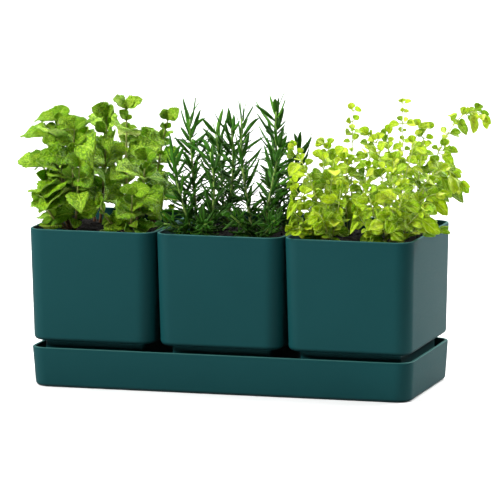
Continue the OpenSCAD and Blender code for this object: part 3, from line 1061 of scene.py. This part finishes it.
OREGANO_SHOOTS = {
    "front_left": [
        [(-26, -36, 48), (-38, -48, 68), 1, 10, 5],
        [(-30, -32, 26), (-40, -46, 44), 1, 60, 4],
        [(-18, -34, 40), (-14, -32, 62), 1, 35, 5],
        [(-28, -44, 18), (-40, -50, 14), 1, 80, 4],
        [(-10, -40, 22), (-6, -46, 42), 1, 25, 4],
        [(-24, -20, 34), (-28, -12, 56), 1, 50, 4],
        [(-16, -42, 16), (-20, -50, 26), 1, 5, 4],
        [(-34, -36, 18), (-44, -42, 28), 1, 40, 4]],
    "front_right": [
        [(18, -22, 50), (10, -14, 70), 1, 15, 5],
        [(30, -16, 50), (38, -8, 80), 0.8, 50, 5],
        [(52, -14, 72), (66, -10, 46), 0.9, 5, 5],
        [(38, -26, 36), (54, -22, 38), 1, 75, 5],
        [(16, -42, 24), (14, -50, 42), 1, 30, 4],
        [(32, -42, 24), (38, -46, 44), 1, 0, 4],
        [(26, -28, 36), (26, -28, 60), 1, 40, 5],
        [(44, -34, 19), (56, -30, 15), 1, 65, 3],
        [(24, -42, 16), (28, -50, 26), 1, 70, 4],
        [(40, -38, 22), (50, -44, 30), 1, 20, 4],
        [(8, -38, 18), (4, -46, 28), 1, 55, 4]],
    "back_left": [
        [(-16, 18, 48), (-12, 6, 88), 0.75, 0, 5],
        [(-28, 26, 36), (-34, 20, 62), 1, 45, 5],
        [(-8, 28, 40), (-4, 26, 68), 1, 20, 5],
        [(-20, 12, 30), (-16, 6, 54), 1, 70, 4],
        [(-30, 16, 20), (-38, 10, 34), 1, 30, 4],
        [(-14, 34, 24), (-10, 42, 44), 1, 65, 4]],
    "back_right": [
        [(20, 16, 50), (23, 6, 94), 0.65, 30, 6],
        [(52, 20, 102), (77, 10, 88), 0.8, 70, 7],
        [(30, 24, 44), (34, 22, 74), 1, 10, 5],
        [(44, 14, 40), (52, 8, 64), 1, 55, 4],
        [(10, 26, 40), (8, 22, 70), 1, 35, 5],
        [(40, 30, 24), (50, 30, 44), 1, 10, 4],
        [(22, 36, 26), (24, 42, 50), 1, 80, 4],
        [(34, 10, 20), (42, 2, 34), 1, 45, 4]]}

# Each herb's reach and sizes. Of a leafy herb also the share of a shoot below its first pair, the angle at
# which leaves open, how far they droop and turn to the light, and how many young leaves there are to a
# pair and how large.
MINT = dict(reach=124, leaf_l=40, leaf_w=29, stem_d=2.8, first=0.34, open=78, droop=0.36, front=0.9,
            young=2, young_size=0.36)
ROSEMARY = dict(reach=126, leaf_l=29, leaf_w=4, stem_d=3, per_round=3, young_size=0.5)
OREGANO = dict(reach=124, leaf_l=20, leaf_w=11.5, stem_d=1.3, first=0.24, open=72, droop=0.3, front=1.1,
               young=2, young_size=0.6)


def leafy_plant(name, pot, side, shoots, herb, large, small, tube, finishes):
    """A plant with leaves in pairs and young leaves between them."""
    r = room(pot, side)
    greens = []
    for template, rule in ((large, pair_leaves), (small, young_leaves)):
        listed = [leaf for shoot in shoots for leaf in rule(side, shoot, herb, r)]
        greens.append(leaves(template, listed, r, name))
    return finished_plant(name, pot, side, shoots, herb, greens, tube, finishes)


def needled_plant(name, pot, side, shoots, herb, needle, tube, finishes):
    """A plant with long needles and short ones between them."""
    r = room(pot, side)
    listed = [leaf for shoot in shoots for rule in (needles, young_needles)
              for leaf in rule(side, shoot, herb, r)]
    greens = [leaves(needle, listed, r, name)]
    return finished_plant(name, pot, side, shoots, herb, greens, tube, finishes)


def finished_plant(name, pot, side, shoots, herb, greens, tube, finishes):
    """The greens with their stems and root plug, as one object."""
    curves = [shoot_curve(side, shoot, herb["reach"]) for shoot in shoots]
    stalks = stems(tube, curves, herb["stem_d"], room(pot, side), name)
    leaf, stalk, root = finishes
    for part in greens:
        painted(part, leaf)
    painted(stalks, stalk)
    plug = painted(root_plug(side, name), root)
    return planted(name, [*greens, stalks, plug], pot)


def grow_pot(herb_name, pot, body, shoots, grow):
    """The four plants of one pot, each in the place of its node."""
    for place, side in SIDES.items():
        node = f"{herb_name}_{place}"
        obj = grow(f"{node}_plant", pot, side, shoots[place])
        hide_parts(node)
        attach(obj, body)


# Building the planter

plastic = plastic_finish()
earth = soil_finish()

tray = painted(one_tray("tray_shell"), plastic)
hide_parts("tray")
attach(tray, "tray")

first_pot = painted(one_pot("first_pot"), plastic)
for place, at in PLACES.items():
    body = f"pot_{place}"
    pot = copied(first_pot, f"{body}_shell", at * pitch)
    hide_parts(body)
    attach(pot, body)
    dug = one_soil(f"soil_{place}_crumbly", 3 + at)
    soil = copied(dug, f"soil_{place}_bed", at * pitch)
    bpy.data.objects.remove(dug)
    painted(soil, earth)
    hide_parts(f"soil_{place}")
    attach(soil, body)
bpy.data.objects.remove(first_pot)

mint_leaf = leaf_template("mint_leaf", 3 * (mint_teeth + 1), 8, mint_shape, 0.016)
small_leaf = leaf_template("small_leaf", 6, 4, small_shape, 0.03)
oregano_leaf = leaf_template("oregano_leaf", 8, 4, oregano_shape, 0.04)
needle = leaf_template("needle", 5, 2, needle_shape, 0.25)
tube = tube_template()

mint_finishes = (
    leaf_finish("mint_leaf", [(76, 118, 6), (116, 158, 14), (142, 178, 28), (162, 194, 58)],
                under=(164, 186, 98), vein=(172, 198, 74), vein_count=8, vein_slant=6.9,
                cells=15, crinkle=0.9, roughness=0.5, specular=0.15),
    stem_finish("mint_stem", (92, 62, 44), (134, 146, 70)), earth)
rosemary_finishes = (
    leaf_finish("rosemary_leaf", [(1, 20, 0), (13, 57, 1), (40, 98, 9), (94, 148, 42)],
                under=(52, 96, 34), vein=(70, 120, 34), vein_count=0.01, vein_slant=0.0,
                cells=10, crinkle=0.2, roughness=0.5, specular=0.08),
    stem_finish("rosemary_stem", (96, 104, 56), (120, 158, 66)), earth)
oregano_finishes = (
    leaf_finish("oregano_leaf", [(82, 114, 1), (136, 170, 4), (176, 200, 16), (214, 228, 78)],
                under=(186, 202, 96), vein=(204, 218, 104), vein_count=4, vein_slant=3.4,
                cells=7, crinkle=0.4, roughness=0.5, specular=0.15),
    stem_finish("oregano_stem", (150, 150, 84), (184, 200, 112)), earth)

grow_pot("mint", -1, "pot_left", MINT_SHOOTS,
         lambda *place: leafy_plant(*place, MINT, mint_leaf, small_leaf, tube, mint_finishes))
grow_pot("rosemary", 0, "pot_middle", ROSEMARY_SHOOTS,
         lambda *place: needled_plant(*place, ROSEMARY, needle, tube, rosemary_finishes))
grow_pot("oregano", 1, "pot_right", OREGANO_SHOOTS,
         lambda *place: leafy_plant(*place, OREGANO, oregano_leaf, oregano_leaf, tube, oregano_finishes))
for template in (mint_leaf, small_leaf, oregano_leaf, needle, tube):
    bpy.data.objects.remove(template)


# Studio

def floor_sheet():
    bpy.ops.object.select_all(action="DESELECT")
    bpy.ops.mesh.primitive_grid_add(x_subdivisions=4, y_subdivisions=4, size=30)
    obj = bpy.context.object
    obj.name = "floor"
    painted(obj, studio_finish("white_floor", 0.78))


def soft_light(name, x, y, z, size, power):
    """A square soft box aimed at the planter, in metres and watts."""
    lamp = bpy.data.lights.new(name, "AREA")
    lamp.shape = "SQUARE"
    lamp.size = size
    lamp.energy = power
    obj = bpy.data.objects.new(name, lamp)
    bpy.context.scene.collection.objects.link(obj)
    obj.location = (x, y, z)
    obj.rotation_euler = (Vector((0, 0, 0.12)) - obj.location).to_track_quat("-Z", "Y").to_euler()


def white_room(front, behind):
    """A room that is bright behind the planter and dimmer on the camera's side."""
    world = bpy.data.worlds.new("white_room")
    bpy.context.scene.world = world
    world.use_nodes = True
    tree = world.node_tree
    toward = tree.nodes.new("ShaderNodeSeparateXYZ")
    tree.links.new(tree.nodes.new("ShaderNodeTexCoord").outputs["Generated"], toward.inputs[0])
    fade = tree.nodes.new("ShaderNodeMapRange")
    fade.interpolation_type = "SMOOTHSTEP"
    for value, target in zip((0.1, 0.6, front, behind), list(fade.inputs)[1:5]):
        target.default_value = value
    tree.links.new(toward.outputs[1], fade.inputs[0])
    tree.links.new(fade.outputs[0], tree.nodes["Background"].inputs["Strength"])
    tree.nodes["Background"].inputs["Color"].default_value = (1, 1, 1, 1)


def photo_camera():
    """The camera as it stood for the photograph, found from the rims' and tray's edges."""
    azimuth, elevation, roll = (math.radians(a) for a in (16.56, 8.73, -0.32))
    distance = 4.9622
    aim = Vector((0.00868, 0, 0.11337))
    back = Vector((math.sin(azimuth) * math.cos(elevation), -math.cos(azimuth) * math.cos(elevation),
                   math.sin(elevation)))
    lens = bpy.data.cameras.new("photo_camera")
    lens.sensor_width = 36
    lens.lens = 422.76
    lens.clip_end = 40
    camera = bpy.data.objects.new("photo_camera", lens)
    bpy.context.scene.collection.objects.link(camera)
    turn = (-back).to_track_quat("-Z", "Y").to_matrix()
    right, up = turn.col[0], turn.col[1]
    turn.col[0], turn.col[1] = (
        right * math.cos(roll) + up * math.sin(roll), up * math.cos(roll) - right * math.sin(roll))
    camera.rotation_euler = turn.to_euler()
    camera.location = aim + back * distance
    bpy.context.scene.camera = camera


floor_sheet()
white_room(0.06, 1.08)
soft_light("key", -2.4, -1.9, 2.3, 1.2, 255)
soft_light("top", 0.0, 0.8, 2.6, 1.6, 60)
soft_light("side", 1.6, 2.0, 1.8, 1.2, 125)
photo_camera()
bpy.context.scene.view_settings.view_transform = "Standard"
